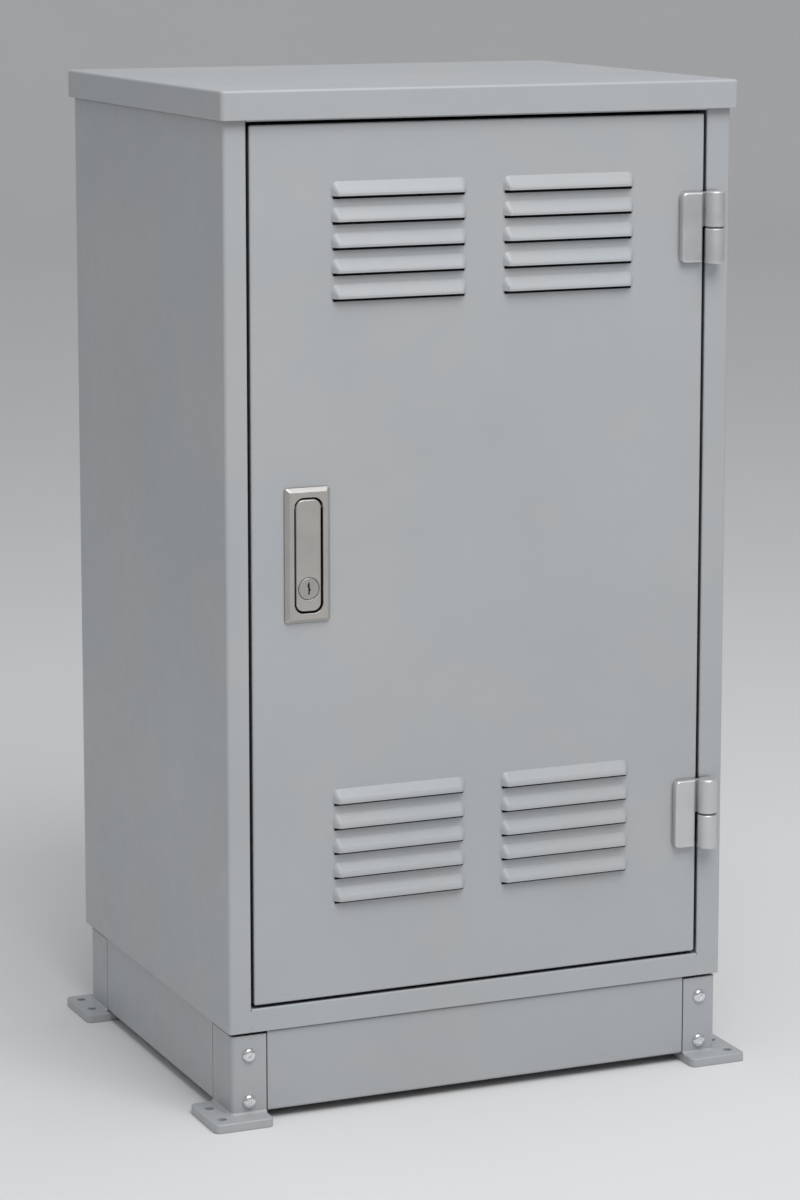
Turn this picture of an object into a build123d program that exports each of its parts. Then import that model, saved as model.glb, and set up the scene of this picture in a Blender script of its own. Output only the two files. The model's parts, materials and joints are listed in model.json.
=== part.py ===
from build123d import *
import os
from math import cos, hypot, radians, sin

# Free-standing outdoor utility cabinet: a folded steel body on a bolted plinth with four foot plates,
# a rain lid, a flush louvred door on two lift-off hinges and a flush pull-handle lock.
# Millimetres. +Z is up and the door faces -Y. The origin is on the ground, at the centre of the
# anchor holes. Left and right are as seen from the front.

# Body
body_width = 540.0
body_depth = 440.0
body_height = 890.0
sheet = 1.5
corner_bend = 3.5
edge_bend = 2.2
strip_left = 23.5
strip_right = 26.5
strip_bottom = 23.5
lip_width = 14.0

# Lid
lid_height = 28.0
lid_sheet = 2.0
lid_side_reach = 4.6
lid_end_reach = 7.9
lid_corner = 5.0
lid_edge = 2.6
lid_reveal = 2.0

# Plinth and feet
plinth_height = 92.0
plinth_side_inset = 3.2
plinth_front_inset = 3.0
plinth_rear_inset = 10.5
post_sheet = 3.0
post_bend = 4.5
post_front_width = 36.5
post_side_width = 52.0
post_drop = 3.5
foot_thickness = 9.0
foot_length = 74.0
foot_side_reach = 25.0
foot_front_reach = 22.0
foot_rear_reach = 15.0
foot_corner = 6.0
foot_edge = 1.0
weld_size = 2.0
anchor_hole = 9.0
anchor_spacing = 36.0
anchor_end = 16.0
anchor_side = 12.5
skirt_sheet = 2.0
skirt_bend = 3.0
skirt_flange = 26.0
skirt_lower_flange = 12.0
skirt_gap = 1.2
skirt_lift = 0.5
skirt_tab = 26.0
plinth_bolt_low = 21.3
plinth_bolt_spacing = 47.3

# Door
door_gap = 3.0
door_depth = 20.0
door_lip = 14.0
seal_width = 10.0
seal_thickness = 5.0
seal_gap = 0.3

# Louvres: two columns in an upper and a lower bank
louvre_length = 142.0
louvre_rise = 14.0
louvre_reach = 7.0
louvre_lip = 3.4
louvre_corner = 7.0
louvre_slot = 3.0
louvre_pitch = 24.6
louvre_count = 5
louvre_end_slope = 5.5
louvre_column_spacing = 180.8
louvre_column_offset = 0.9
louvre_bank_upper = 858.4
louvre_bank_lower = 264.4

# Hinges
hinge_upper = 864.3
hinge_lower = 265.6
knuckle_radius = 10.0
knuckle_height = 72.0
hinge_axis_inset = 22.1
hinge_face_gap = 0.4
leaf_width = 22.7
leaf_height = 70.0
leaf_thickness = 8.0
leaf_knuckle_gap = 1.6
pin_radius = 4.0
running_gap = 0.05
hinge_washer = 1.0

# Lock
lock_edge = 57.0
lock_centre = 562.5
lock_plate_width = 47.0
lock_plate_height = 132.0
lock_plate_thickness = 5.5
lock_plate_bevel = 3.9
recess_width = 30.0
recess_height = 113.4
recess_corner = 10.0
recess_depth = 19.0
recess_wall = 3.0
handle_gap = 1.9
handle_thickness = 8.0
handle_set_back = 0.5
handle_pin_radius = 2.0
handle_pin_drop = 8.0
handle_swing = 30.0
lock_barrel_drop = 32.4
lock_face_radius = 10.6
lock_face_gap = 0.6
lock_barrel_radius = 8.0
lock_core_radius = 5.0
button_travel = 3.0
latch_thickness = 4.0
latch_height = 20.0
latch_overlap = 8.0
latch_travel = 12.0
latch_ramp = 1.5

# Inside
plate_thickness = 2.0
mounting_width = 440.0
mounting_height = 760.0
mounting_stand_off = 25.0
equipment_spacing_x = 340.0
equipment_spacing_z = 500.0
equipment_hole = 6.6
gland_opening_width = 300.0
gland_opening_depth = 160.0
gland_margin = 22.0
gland_hole = 50.0
gland_hole_count = 3
gland_hole_spacing = 92.0
filter_depth = 6.0
filter_set_back = 3.0
filter_margin = 12.0
stiffener_height = 15.0
stiffener_width = 44.0
stiffener_upper = 705.0
stiffener_lower = 410.0

# Levels and planes that follow from the sizes above
body_shift = (foot_front_reach - plinth_front_inset - foot_rear_reach + plinth_rear_inset) / 2
x_left = -body_width / 2
x_right = body_width / 2
y_front = body_shift - body_depth / 2
y_back = body_shift + body_depth / 2
z_floor = plinth_height
z_lid = z_floor + body_height
z_roof = z_lid + lid_height - lid_sheet
z_top = z_lid + lid_height
open_left = x_left + strip_left
open_right = x_right - strip_right
open_bottom = z_floor + strip_bottom
open_top = z_lid - lid_reveal
y_lip = y_front + door_depth + seal_gap + seal_thickness
door_left = open_left + door_gap
door_right = open_right - door_gap
door_bottom = open_bottom + door_gap
door_top = open_top - door_gap
y_door_back = y_front + door_depth
x_hinge = x_right - hinge_axis_inset
y_hinge = y_front - knuckle_radius - hinge_face_gap
x_lock = door_left + lock_edge


# Helpers

def block(x, y, z):
    """A rectangular block between three pairs of limits."""
    size = Box(x[1] - x[0], y[1] - y[0], z[1] - z[0])
    return Pos((x[0] + x[1]) / 2, (y[0] + y[1]) / 2, (z[0] + z[1]) / 2) * size


def rod_x(radius, x, y, z):
    """A cylinder along X between two limits of x."""
    return Pos((x[0] + x[1]) / 2, y, z) * Rot(0, 90, 0) * Cylinder(radius, x[1] - x[0])


def rod_y(radius, x, y, z):
    """A cylinder along Y between two limits of y."""
    return Pos(x, (y[0] + y[1]) / 2, z) * Rot(90, 0, 0) * Cylinder(radius, y[1] - y[0])


def rod_z(radius, x, y, z):
    """A cylinder along Z between two limits of z."""
    return Pos(x, y, (z[0] + z[1]) / 2) * Cylinder(radius, z[1] - z[0])


def sheet_section(points, radii, thickness):
    """The section of a folded sheet, whose material lies to the right of the path."""
    path = FilletPolyline(*points, radius=radii)
    outline = Wire(path.edges()).offset_2d(thickness, kind=Kind.ARC, side=Side.RIGHT, closed=True)
    return Face(outline)


def along_x(section, x):
    """A section drawn in Y and Z, extruded between two limits of x."""
    return extrude(Plane(origin=(x[0], 0, 0), x_dir=(0, 1, 0), z_dir=(1, 0, 0)) * section,
                   amount=x[1] - x[0], dir=(1, 0, 0))


def along_z(section, z):
    """A section drawn in X and Y, extruded between two limits of z."""
    return extrude(Pos(0, 0, z[0]) * section, amount=z[1] - z[0], dir=(0, 0, 1))


def front_slab(sketch, y, x=0.0, z=0.0):
    """A sketch as seen from the front, centred on x and z, extruded between two limits of y."""
    plane = Plane(origin=(x, y[1], z), x_dir=(1, 0, 0), z_dir=(0, -1, 0))
    return extrude(plane * sketch, amount=y[1] - y[0], dir=(0, -1, 0))


def hex_nut(across_flats, height, bore):
    """A hexagon nut standing on Z = 0."""
    return extrude(RegularPolygon(across_flats / 2, 6, major_radius=False), amount=height) - rod_z(bore, 0,
                                                                                                   0, (-1,
                                                                                                       height + 1))


def washer(outer, inner, thickness):
    """A flat washer standing on Z = 0."""
    return rod_z(outer, 0, 0, (0, thickness)) - rod_z(inner, 0, 0, (-1, thickness + 1))


def hex_bolt(radius, length, across_flats, head):
    """A hexagon bolt whose head stands on Z = 0 and whose shank points down."""
    top = extrude(RegularPolygon(across_flats / 2, 6, major_radius=False), amount=head)
    return top + rod_z(radius, 0, 0, (-length, 0))


def pan_bolt(radius, length, head_radius, head):
    """A bolt with a low round head that stands on Z = 0, its shank pointing down."""
    top = Pos(0, 0, head / 2) * Cylinder(head_radius, head)
    return chamfer(top.edges().sort_by(Axis.Z)[-1], head * 0.4) + rod_z(radius, 0, 0, (-length, 0))


def facing(direction):
    """The rotation that turns +Z into a named direction."""
    turns = {"front": Rot(90, 0, 0), "back": Rot(-90, 0, 0), "up": Rot(0, 0, 0), "down": Rot(180, 0, 0),
             "left": Rot(0, -90, 0), "right": Rot(0, 90, 0)}
    return turns[direction]


def placed(shape, direction, points):
    """Copies of a shape, turned to face a direction and set at points."""
    return [Pos(*point) * facing(direction) * shape for point in points]


nodes = {}


def keep(name, *shapes):
    """Files one or more solids under the name of their node."""
    solids = [solid for shape in shapes for solid in shape.solids()]
    nodes[name] = solids[0] if len(solids) == 1 else Compound(children=solids)


def without(shape, cutters):
    """A shape less every cutter."""
    for cutter in cutters:
        shape = shape - cutter
    return shape


# Hinge places, used by the frame, the door and the hinges themselves
hinge_levels = {"upper": hinge_upper, "lower": hinge_lower}
y_leaf_front = y_front - leaf_thickness
x_leaf_right = x_hinge - knuckle_radius - leaf_knuckle_gap
x_leaf_left = x_leaf_right - leaf_width
x_leaf_stud = x_leaf_left + leaf_width * 0.42
x_base_left = open_right + 1.0
x_base_right = x_hinge + knuckle_radius
x_base_stud = x_base_left + (x_base_right - x_base_left) * 0.58
leaf_stud_radius = 3.0
base_stud_radius = 2.5
stud_gap = 0.25
leaf_stud_points = [(x_leaf_stud, z + dz) for z in hinge_levels.values()
                    for dz in (-leaf_height / 4, leaf_height / 4)]
base_stud_points = [(x_base_stud, z - knuckle_height * share) for z in hinge_levels.values()
                    for share in (0.14, 0.38)]


# Plinth

x_post = body_width / 2 - plinth_side_inset
y_plinth_front = y_front + plinth_front_inset
y_plinth_back = y_back - plinth_rear_inset
post_height = plinth_height - post_drop - foot_thickness
plinth_bolt_levels = (plinth_bolt_low, plinth_bolt_low + plinth_bolt_spacing)
plinth_bolt_radius = 4.0
plinth_bolt_gap = 0.25
x_plinth_bolt = x_post - post_front_width / 2


def corner_post(end_reach):
    """One foot: an angle post welded to a foot plate, with its outer corner at the origin,
    one leg along +X and one along +Y, and the plate reaching out past both."""
    section = sheet_section([(post_front_width, 0), (0, 0), (0, post_side_width)], [post_bend], post_sheet)
    post = along_z(section, (foot_thickness, foot_thickness + post_height))
    plate_sketch = RectangleRounded(post_front_width + foot_side_reach, foot_length, foot_corner)
    x_plate = (post_front_width - foot_side_reach) / 2
    y_plate = foot_length / 2 - end_reach
    plate = Pos(x_plate, y_plate, 0) * extrude(plate_sketch, amount=foot_thickness)
    plate = chamfer(plate.faces().sort_by(Axis.Z)[-1].edges(), foot_edge)
    bead = make_face(Polyline((0, foot_thickness), (-weld_size, foot_thickness),
                              (0, foot_thickness + weld_size), close=True))
    bead_x = along_x(bead, (post_bend, post_front_width))
    bead_y = mirror(along_x(bead, (post_bend, post_side_width)), about=Plane.XZ)
    bead_y = Rot(0, 0, 90) * bead_y
    bead_corner = Cone(post_bend + weld_size, post_bend, weld_size,
                       align=(Align.CENTER, Align.CENTER, Align.MIN))
    bead_corner = Pos(post_bend, post_bend, foot_thickness) * bead_corner
    bead_corner &= block((-weld_size, post_bend), (-weld_size, post_bend), (0, 2 * foot_thickness))
    foot = post + plate + bead_x + bead_y + bead_corner
    anchors = [(anchor_side - foot_side_reach, anchor_end - end_reach + step)
               for step in (0, anchor_spacing)]
    holes = [rod_z(anchor_hole / 2, x, y, (-1, foot_thickness + 1)) for x, y in anchors]
    bolt_holes = [rod_y(plinth_bolt_radius + plinth_bolt_gap, post_front_width / 2, (-1, post_sheet + 1), z)
                  for z in plinth_bolt_levels]
    return without(foot, holes + bolt_holes)


front_foot = corner_post(foot_front_reach)
rear_foot = corner_post(foot_rear_reach)
left_front = Pos(-x_post, y_plinth_front, 0) * front_foot
left_rear = Pos(-x_post, y_plinth_back, 0) * mirror(rear_foot, about=Plane.XZ)
keep("foot_front_left", left_front)
keep("foot_front_right", mirror(left_front, about=Plane.YZ))
keep("foot_rear_left", left_rear)
keep("foot_rear_right", mirror(left_rear, about=Plane.YZ))

skirt_bottom = foot_thickness + skirt_lift
tie_inset = skirt_flange * 0.55
tie_radius = 4.0
tie_gap = 0.5
x_tie = body_width / 3


def skirt(length, bolted):
    """A plinth panel, outer face on Y = 0 towards -Y, centred on X, with flanges turned inwards
    and a stepped tab at each end that lies behind the corner post."""
    section = sheet_section(
        [(skirt_lower_flange, skirt_bottom), (0, skirt_bottom), (0, plinth_height),
         (skirt_flange, plinth_height)],
        [skirt_bend, skirt_bend], skirt_sheet)
    panel = along_x(section, (-length / 2, length / 2))
    tab_low = skirt_bottom + skirt_bend + skirt_sheet
    tab_high = plinth_height - post_drop - skirt_bend - skirt_sheet
    for side in (-1, 1):
        inner = side * (length / 2 - skirt_sheet * 2)
        edge = side * length / 2
        outer = side * (length / 2 + skirt_tab)
        step = block(sorted((inner, edge)), (skirt_sheet / 2, post_sheet + skirt_sheet),
                     (tab_low, tab_high))
        tab = block(sorted((inner, outer)), (post_sheet, post_sheet + skirt_sheet), (tab_low, tab_high))
        panel = panel + step + tab
        if bolted:
            x_bolt = side * (length / 2 + skirt_gap + post_front_width / 2)
            for z in plinth_bolt_levels:
                panel = panel - rod_y(plinth_bolt_radius + plinth_bolt_gap, x_bolt,
                                      (-1, 2 * post_sheet + skirt_sheet), z)
    return panel


long_skirt = skirt(2 * (x_post - post_front_width - skirt_gap), True)
for side in (-1, 1):
    long_skirt = long_skirt - rod_z(tie_radius + tie_gap, side * x_tie, tie_inset,
                                    (plinth_height - 10, plinth_height + 1))
side_length = y_plinth_back - y_plinth_front - 2 * (post_side_width + skirt_gap)
side_skirt = skirt(side_length, False)
y_plinth_centre = (y_plinth_front + y_plinth_back) / 2
keep("skirt_front", Pos(0, y_plinth_front, 0) * long_skirt)
keep("skirt_rear", Pos(0, y_plinth_back, 0) * Rot(0, 0, 180) * long_skirt)
keep("skirt_left", Pos(-x_post, y_plinth_centre, 0) * Rot(0, 0, -90) * side_skirt)
keep("skirt_right", Pos(x_post, y_plinth_centre, 0) * Rot(0, 0, 90) * side_skirt)

plinth_bolt_grip = post_sheet + skirt_sheet
plinth_nut_height = 6.5
plinth_bolt = pan_bolt(plinth_bolt_radius, plinth_bolt_grip + plinth_nut_height + 2, 7.0, 3.6)
plinth_nut = hex_nut(13.0, plinth_nut_height, plinth_bolt_radius)
bolt_places = [(side * x_plinth_bolt, z) for side in (-1, 1) for z in plinth_bolt_levels]
keep("plinth_bolts",
     *placed(plinth_bolt, "front", [(x, y_plinth_front, z) for x, z in bolt_places]),
     *placed(plinth_bolt, "back", [(x, y_plinth_back, z) for x, z in bolt_places]))
plinth_nuts = placed(plinth_nut, "back",
                     [(x, y_plinth_front + plinth_bolt_grip, z) for x, z in bolt_places])
plinth_nuts += placed(plinth_nut, "front",
                      [(x, y_plinth_back - plinth_bolt_grip, z) for x, z in bolt_places])


# Body shell

wrap_path = [(open_left + lip_width, y_lip), (open_left, y_lip), (open_left, y_front), (x_left, y_front),
             (x_left, y_back), (x_right, y_back), (x_right, y_front), (open_right, y_front),
             (open_right, y_lip), (open_right - lip_width, y_lip)]
inner_bend = edge_bend - sheet
wrap_radii = [inner_bend, edge_bend, corner_bend, corner_bend, corner_bend, corner_bend, edge_bend,
              inner_bend]
wrap = along_z(sheet_section(wrap_path, wrap_radii, sheet), (z_floor, z_roof))
stud_radius = 3.0
x_mount_hole = mounting_width / 2 - 25.0
z_mounting = (open_bottom + open_top) / 2
mounting_bottom = z_mounting - mounting_height / 2
mount_hole_points = [(sx * x_mount_hole, z_mounting + sz * (mounting_height / 2 - 25.0))
                     for sx in (-1, 1) for sz in (-1, 1)]
base_holes = [rod_y(base_stud_radius + stud_gap, x, (y_front - 1, y_front + sheet + 1), z) for x,
              z in base_stud_points]
keep("side_wrap", without(wrap, base_holes))

lip_left = block((open_left - 1, open_left + lip_width + 0.1), (y_lip - 1, y_lip + sheet + 1),
                 (z_floor - 1, z_roof + 1))
lip_right = block((open_right - lip_width - 0.1, open_right + 1), (y_lip - 1, y_lip + sheet + 1),
                  (z_floor - 1, z_roof + 1))
sill_section = sheet_section(
    [(y_front, z_floor), (y_front, open_bottom), (y_lip, open_bottom), (y_lip, open_bottom + lip_width)],
    [edge_bend, inner_bend], sheet)
head_section = sheet_section(
    [(y_lip, open_top - lip_width), (y_lip, open_top), (y_front, open_top), (y_front, z_roof)],
    [inner_bend, edge_bend], sheet)
sill = along_x(sill_section, (open_left, open_right))
head = along_x(head_section, (open_left, open_right))
keep("sill_rail", sill - lip_left - lip_right)
keep("head_rail", head - lip_left - lip_right)

# The floor pan and the roof panel are trays that fit inside the wrap, behind the rails
tray_x = (x_left + sheet, x_right - sheet)
tray_y = (y_front + sheet, y_back - sheet)
tray_width = tray_x[1] - tray_x[0]
tray_depth = tray_y[1] - tray_y[0]
tray_centre = (tray_y[0] + tray_y[1]) / 2
floor_flange = 20.0
roof_flange = 20.0
web_relief = 1.0


def tray(height, direction):
    """An open tray of body sheet with its base on Z = 0 and its walls standing along direction."""
    base = RectangleRounded(tray_width, tray_depth, corner_bend - sheet)
    hollow = RectangleRounded(tray_width - 2 * sheet, tray_depth - 2 * sheet, 0.4)
    solid = extrude(base, amount=direction * height)
    return solid - Pos(0, 0, direction * sheet) * extrude(hollow, amount=direction * height)


web_cuts = []
for low, high in ((open_left - sheet, open_left + lip_width), (open_right - lip_width, open_right + sheet)):
    web_cuts.append(block((low - web_relief, high + web_relief), (y_front, y_lip + sheet + web_relief),
                          (z_floor - 1, z_roof + 1)))
gland_cut = Pos(0, body_shift, z_floor) * Box(gland_opening_width, gland_opening_depth, 10 * sheet)
tie_points = [(side * x_tie, y) for side in (-1, 1)
              for y in (y_plinth_front + tie_inset, y_plinth_back - tie_inset)]
gland_x = (gland_opening_width + gland_margin) / 2
gland_y = (gland_opening_depth + gland_margin) / 2
gland_screw_points = [(sx * gland_x, body_shift + sy * gland_y / 2) for sx in (-1, 1) for sy in (-1, 1)]
gland_screw_points += [(0, body_shift + sy * gland_y) for sy in (-1, 1)]
gland_screw_radius = 2.5
floor_pan = Pos(0, tray_centre, z_floor) * tray(floor_flange, 1)
floor_holes = [rod_z(tie_radius + tie_gap, x, y, (z_floor - 1, z_floor + sheet + 1)) for x, y in tie_points]
floor_holes += [rod_z(gland_screw_radius + stud_gap, x, y, (z_floor - 1, z_floor + sheet + 1))
                for x, y in gland_screw_points]
sill_web = block((open_left - 1, open_right + 1), (y_front, y_lip + sheet + web_relief),
                 (open_bottom - 2 * sheet, open_bottom + 50))
keep("floor_pan", without(floor_pan, [gland_cut, sill_web] + floor_holes + web_cuts))

lid_screw_radius = 3.0
lid_boss_radius = 6.0
lid_boss_height = 8.0
lid_screw_points = [(sx * body_width * 0.37, body_shift + sy * body_depth * 0.34) for sx in (-1, 1)
                    for sy in (-1, 1)]
roof_panel = Pos(0, tray_centre, z_roof) * tray(roof_flange, -1)
roof_holes = [rod_z(lid_boss_radius + 0.5, x, y, (z_roof - 10, z_roof + 1)) for x, y in lid_screw_points]
head_web = block((open_left - 1, open_right + 1), (y_front, y_lip + sheet + web_relief),
                 (open_top - 50, open_top + 2 * sheet))
keep("roof_panel", without(roof_panel, [head_web] + roof_holes + web_cuts))

# Lid, with welded corners and blind bosses for the screws that hold it from inside
lid_width = body_width + 2 * lid_side_reach
lid_depth = body_depth + 2 * lid_end_reach
lid_outer = Pos(0, body_shift, z_lid) * extrude(RectangleRounded(lid_width, lid_depth, lid_corner),
                                                amount=lid_height)
lid_outer = fillet(lid_outer.faces().sort_by(Axis.Z)[-1].edges(), lid_edge)
lid_inner_sketch = RectangleRounded(lid_width - 2 * lid_sheet, lid_depth - 2 * lid_sheet,
                                    lid_corner - lid_sheet)
lid_hollow = Pos(0, body_shift, z_lid) * extrude(lid_inner_sketch, amount=lid_height - lid_sheet)
lid = lid_outer - lid_hollow
for x, y in lid_screw_points:
    boss = rod_z(lid_boss_radius, x, y, (z_roof - lid_boss_height, z_roof + lid_sheet / 2))
    lid = lid + boss - rod_z(lid_screw_radius, x, y, (z_roof - lid_boss_height - 1, z_roof - 0.5))
keep("lid", lid)
lid_washer = 2.0
lid_screw = hex_bolt(lid_screw_radius, lid_boss_height - 1.5 + lid_washer, 10.0, 4.0)
lid_cap_washer = washer(11.0, lid_screw_radius, lid_washer)
z_lid_screw = z_roof - lid_boss_height - lid_washer
keep("lid_screws", *placed(lid_screw, "down", [(x, y, z_lid_screw) for x, y in lid_screw_points]))
roof_sleeve = washer(11.0, lid_boss_radius + 0.5, lid_boss_height - sheet)
lid_washers = [washer(11.0, lid_screw_radius, lid_washer) + Pos(0, 0, lid_washer) * roof_sleeve]
keep("lid_cup_washers", *[Pos(x, y, z_lid_screw) * lid_washers[0] for x, y in lid_screw_points])

# Door seal, a ring on the front of the frame's lips
seal_low_x = open_left + 2.0
seal_high_x = open_right - 2.0
seal_low_z = open_bottom + 2.0
seal_high_z = open_top - 2.0
seal_ring = RectangleRounded(seal_high_x - seal_low_x, seal_high_z - seal_low_z, 4.0)
seal_ring -= RectangleRounded(seal_high_x - seal_low_x - 2 * seal_width,
                              seal_high_z - seal_low_z - 2 * seal_width, 2.0)
seal = front_slab(seal_ring, (y_lip - seal_thickness, y_lip), (seal_low_x + seal_high_x) / 2,
                  (seal_low_z + seal_high_z) / 2)
seal = chamfer(seal.faces().sort_by(Axis.Y)[0].edges(), seal_thickness * 0.3)
keep("door_seal", seal)


# Inside: gland plate, mounting plate and earth points

gland_plate_z = z_floor + sheet
gland_sketch = RectangleRounded(gland_opening_width + 2 * gland_margin,
                                gland_opening_depth + 2 * gland_margin, 6)
gland_plate = Pos(0, body_shift, gland_plate_z) * extrude(gland_sketch, amount=plate_thickness)
gland_xs = [(i - (gland_hole_count - 1) / 2) * gland_hole_spacing for i in range(gland_hole_count)]
gland_holes = [rod_z(gland_hole / 2, x, body_shift,
                     (gland_plate_z - 1, gland_plate_z + plate_thickness + 1)) for x in gland_xs]
gland_holes += [rod_z(gland_screw_radius + stud_gap, x, y,
                      (gland_plate_z - 1, gland_plate_z + plate_thickness + 1))
                for x, y in gland_screw_points]
keep("gland_plate", without(gland_plate, gland_holes))
gland_screw = pan_bolt(gland_screw_radius, plate_thickness + sheet + 6, 5.0, 3.0)
z_gland_top = gland_plate_z + plate_thickness
keep("gland_screws", *placed(gland_screw, "up", [(x, y, z_gland_top) for x, y in gland_screw_points]))
gland_nut = hex_nut(8.0, 4.0, gland_screw_radius)
small_nuts = placed(gland_nut, "down", [(x, y, z_floor) for x, y in gland_screw_points])

# Each grommet is an edge ring with a groove for the plate and an open middle for a cable
grommet_wall = 3.0
grommet_rim = 4.0
grommet_profile = Polyline(
    (gland_hole / 2 - grommet_wall, -grommet_rim), (gland_hole / 2 + grommet_rim, -grommet_rim),
    (gland_hole / 2 + grommet_rim, 0), (gland_hole / 2, 0), (gland_hole / 2, plate_thickness),
    (gland_hole / 2 + grommet_rim, plate_thickness), (gland_hole / 2 + grommet_rim, plate_thickness + 2),
    (gland_hole / 2 - grommet_wall, plate_thickness + grommet_rim), close=True)
grommet = revolve(Plane.XZ * make_face(grommet_profile), Axis.Z)
keep("cable_grommets", *[Pos(x, body_shift, gland_plate_z) * grommet for x in gland_xs])

tie_head = 5.3
tie_bolt = hex_bolt(tie_radius, sheet + skirt_sheet + 8.5, 13.0, tie_head)
keep("tie_bolts", *placed(tie_bolt, "up", [(x, y, z_floor + sheet) for x, y in tie_points]))
tie_nuts = placed(plinth_nut, "down", [(x, y, z_floor - skirt_sheet) for x, y in tie_points])
keep("plinth_nuts", *plinth_nuts, *tie_nuts)

y_back_inner = y_back - sheet
mounting_rear = y_back_inner - mounting_stand_off
mounting_fold = 12.0
mounting_section = sheet_section(
    [(-mounting_width / 2, mounting_rear - plate_thickness - mounting_fold),
     (-mounting_width / 2, mounting_rear),
     (mounting_width / 2, mounting_rear), (mounting_width / 2,
                                           mounting_rear - plate_thickness - mounting_fold)],
    [edge_bend + 1, edge_bend + 1], plate_thickness)
mounting_plate = along_z(mounting_section, (mounting_bottom, mounting_bottom + mounting_height))
mounting_cuts = [rod_y(stud_radius + 0.5, x, (mounting_rear - plate_thickness - 1, mounting_rear + 1), z)
                 for x, z in mount_hole_points]
for sx in (-1, 1):
    for sz in (-1, 1):
        x, z = sx * equipment_spacing_x / 2, z_mounting + sz * equipment_spacing_z / 2
        mounting_cuts.append(rod_y(equipment_hole / 2, x,
                                   (mounting_rear - plate_thickness - 1, mounting_rear + 1), z))
keep("mounting_plate", without(mounting_plate, mounting_cuts))
spacer_radius = 7.0
mounting_nut_height = 5.0
mounting_studs = []
for x, z in mount_hole_points:
    spacer = rod_y(spacer_radius, x, (mounting_rear, y_back_inner), z)
    stud_end = mounting_rear - plate_thickness - mounting_nut_height - 4.0
    mounting_studs.append(spacer + rod_y(stud_radius, x, (stud_end, y_back_inner), z))
keep("mounting_studs", *mounting_studs)
mounting_nut = hex_nut(10.0, mounting_nut_height, stud_radius)
stud_nuts = placed(mounting_nut, "front",
                   [(x, mounting_rear - plate_thickness, z) for x, z in mount_hole_points])

# The earth bar stands on two pillars low on the mounting plate
earth_bar_length = 180.0
earth_bar_height = 15.0
earth_bar_thickness = 4.0
earth_pillar = 12.0
z_earth = mounting_bottom + 60.0
y_earth = mounting_rear - plate_thickness - earth_pillar
earth_bar = block((-earth_bar_length / 2, earth_bar_length / 2), (y_earth - earth_bar_thickness, y_earth),
                  (z_earth - earth_bar_height / 2, z_earth + earth_bar_height / 2))
terminal_count = 8
terminal_pitch = earth_bar_length / (terminal_count + 2)
terminal_xs = [(i - (terminal_count - 1) / 2) * terminal_pitch for i in range(terminal_count)]
terminal_radius = 2.5
earth_bar = without(earth_bar,
                    [rod_y(terminal_radius, x, (y_earth - earth_bar_thickness - 1, y_earth + 1), z_earth)
                                for x in terminal_xs])
keep("earth_bar", earth_bar)
pillar_xs = [side * (earth_bar_length / 2 - 8.0) for side in (-1, 1)]
keep("earth_bar_pillars",
     *[rod_y(5.0, x, (y_earth, mounting_rear - plate_thickness), z_earth) for x in pillar_xs])
terminal_screw = pan_bolt(terminal_radius, earth_bar_thickness + 2, 4.5, 3.0)
keep("earth_screws",
     *placed(terminal_screw, "front", [(x, y_earth - earth_bar_thickness, z_earth) for x in terminal_xs]))

earth_stud_length = 24.0
z_earth_stud = z_floor + 75.0
y_body_stud = body_shift - body_depth / 4
body_stud = rod_x(stud_radius, (x_left + sheet, x_left + sheet + earth_stud_length), y_body_stud,
                  z_earth_stud)
body_stud += rod_x(stud_radius * 2.2, (x_left + sheet, x_left + sheet + 1.5), y_body_stud, z_earth_stud)
keep("earth_stud_body", body_stud)
stud_nuts += placed(mounting_nut, "right", [(x_left + sheet + 1.5, y_body_stud, z_earth_stud)])
keep("stud_nuts", *stud_nuts)


# Door panel: a folded tray with pressed louvres

def louvre_outline(length, height, corner, y):
    """The outline of a louvre at a distance in front of the sheet: square at the foot, round at the top."""
    half = length / 2
    arch = FilletPolyline((half, 0), (half, height), (-half, height), (-half, 0), radius=corner)
    plane = Plane(origin=(0, y, 0), x_dir=(1, 0, 0), z_dir=(0, -1, 0))
    return plane * make_face(arch.edges() + Line((-half, 0), (half, 0)).edges())


# A hood is drawn from the sheet out to an upright lip, and its void follows it one wall further in
steepness = (louvre_rise - louvre_lip) / louvre_reach
wall_drop = sheet * hypot(1, steepness)
void_reach = louvre_reach - sheet
void_inset = sheet * hypot(1, louvre_end_slope / louvre_reach)
void_length = louvre_length - 2 * void_inset
void_rise = louvre_rise - wall_drop
shoulder = 0.84
brow = louvre_outline(louvre_length - 2 * louvre_end_slope * shoulder,
                      louvre_rise - steepness * louvre_reach * shoulder,
                      louvre_lip * 0.7, -louvre_reach * shoulder)
hood = loft([louvre_outline(louvre_length, louvre_rise, louvre_corner, 0), brow], ruled=True)
hood += loft([brow,
              louvre_outline(louvre_length - 2.4 * louvre_end_slope, louvre_lip * 0.72, louvre_lip * 0.5,
                             -louvre_reach)], ruled=True)
hood += front_slab(Rectangle(louvre_length - 2 * void_inset, louvre_rise - wall_drop),
                   (-sheet / 2, sheet / 2), 0, (louvre_rise - wall_drop) / 2)
void_end = louvre_end_slope * void_reach / louvre_reach
hood_void = loft([louvre_outline(void_length, void_rise, louvre_corner * 0.7, 0),
                  louvre_outline(void_length - 2 * void_end, max(void_rise - steepness * void_reach, 0.8),
                                 0.3, -void_reach)])
hood_void += extrude(louvre_outline(void_length, void_rise, louvre_corner * 0.7, 0), amount=2 * sheet,
                     dir=(0, 1, 0))
hood_void += front_slab(Rectangle(void_length, louvre_slot), (-louvre_reach, 0), 0, -louvre_slot / 2)
hood_void += front_slab(Rectangle(void_length, louvre_slot + 1), (0, 2 * sheet), 0, (1 - louvre_slot) / 2)

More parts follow.
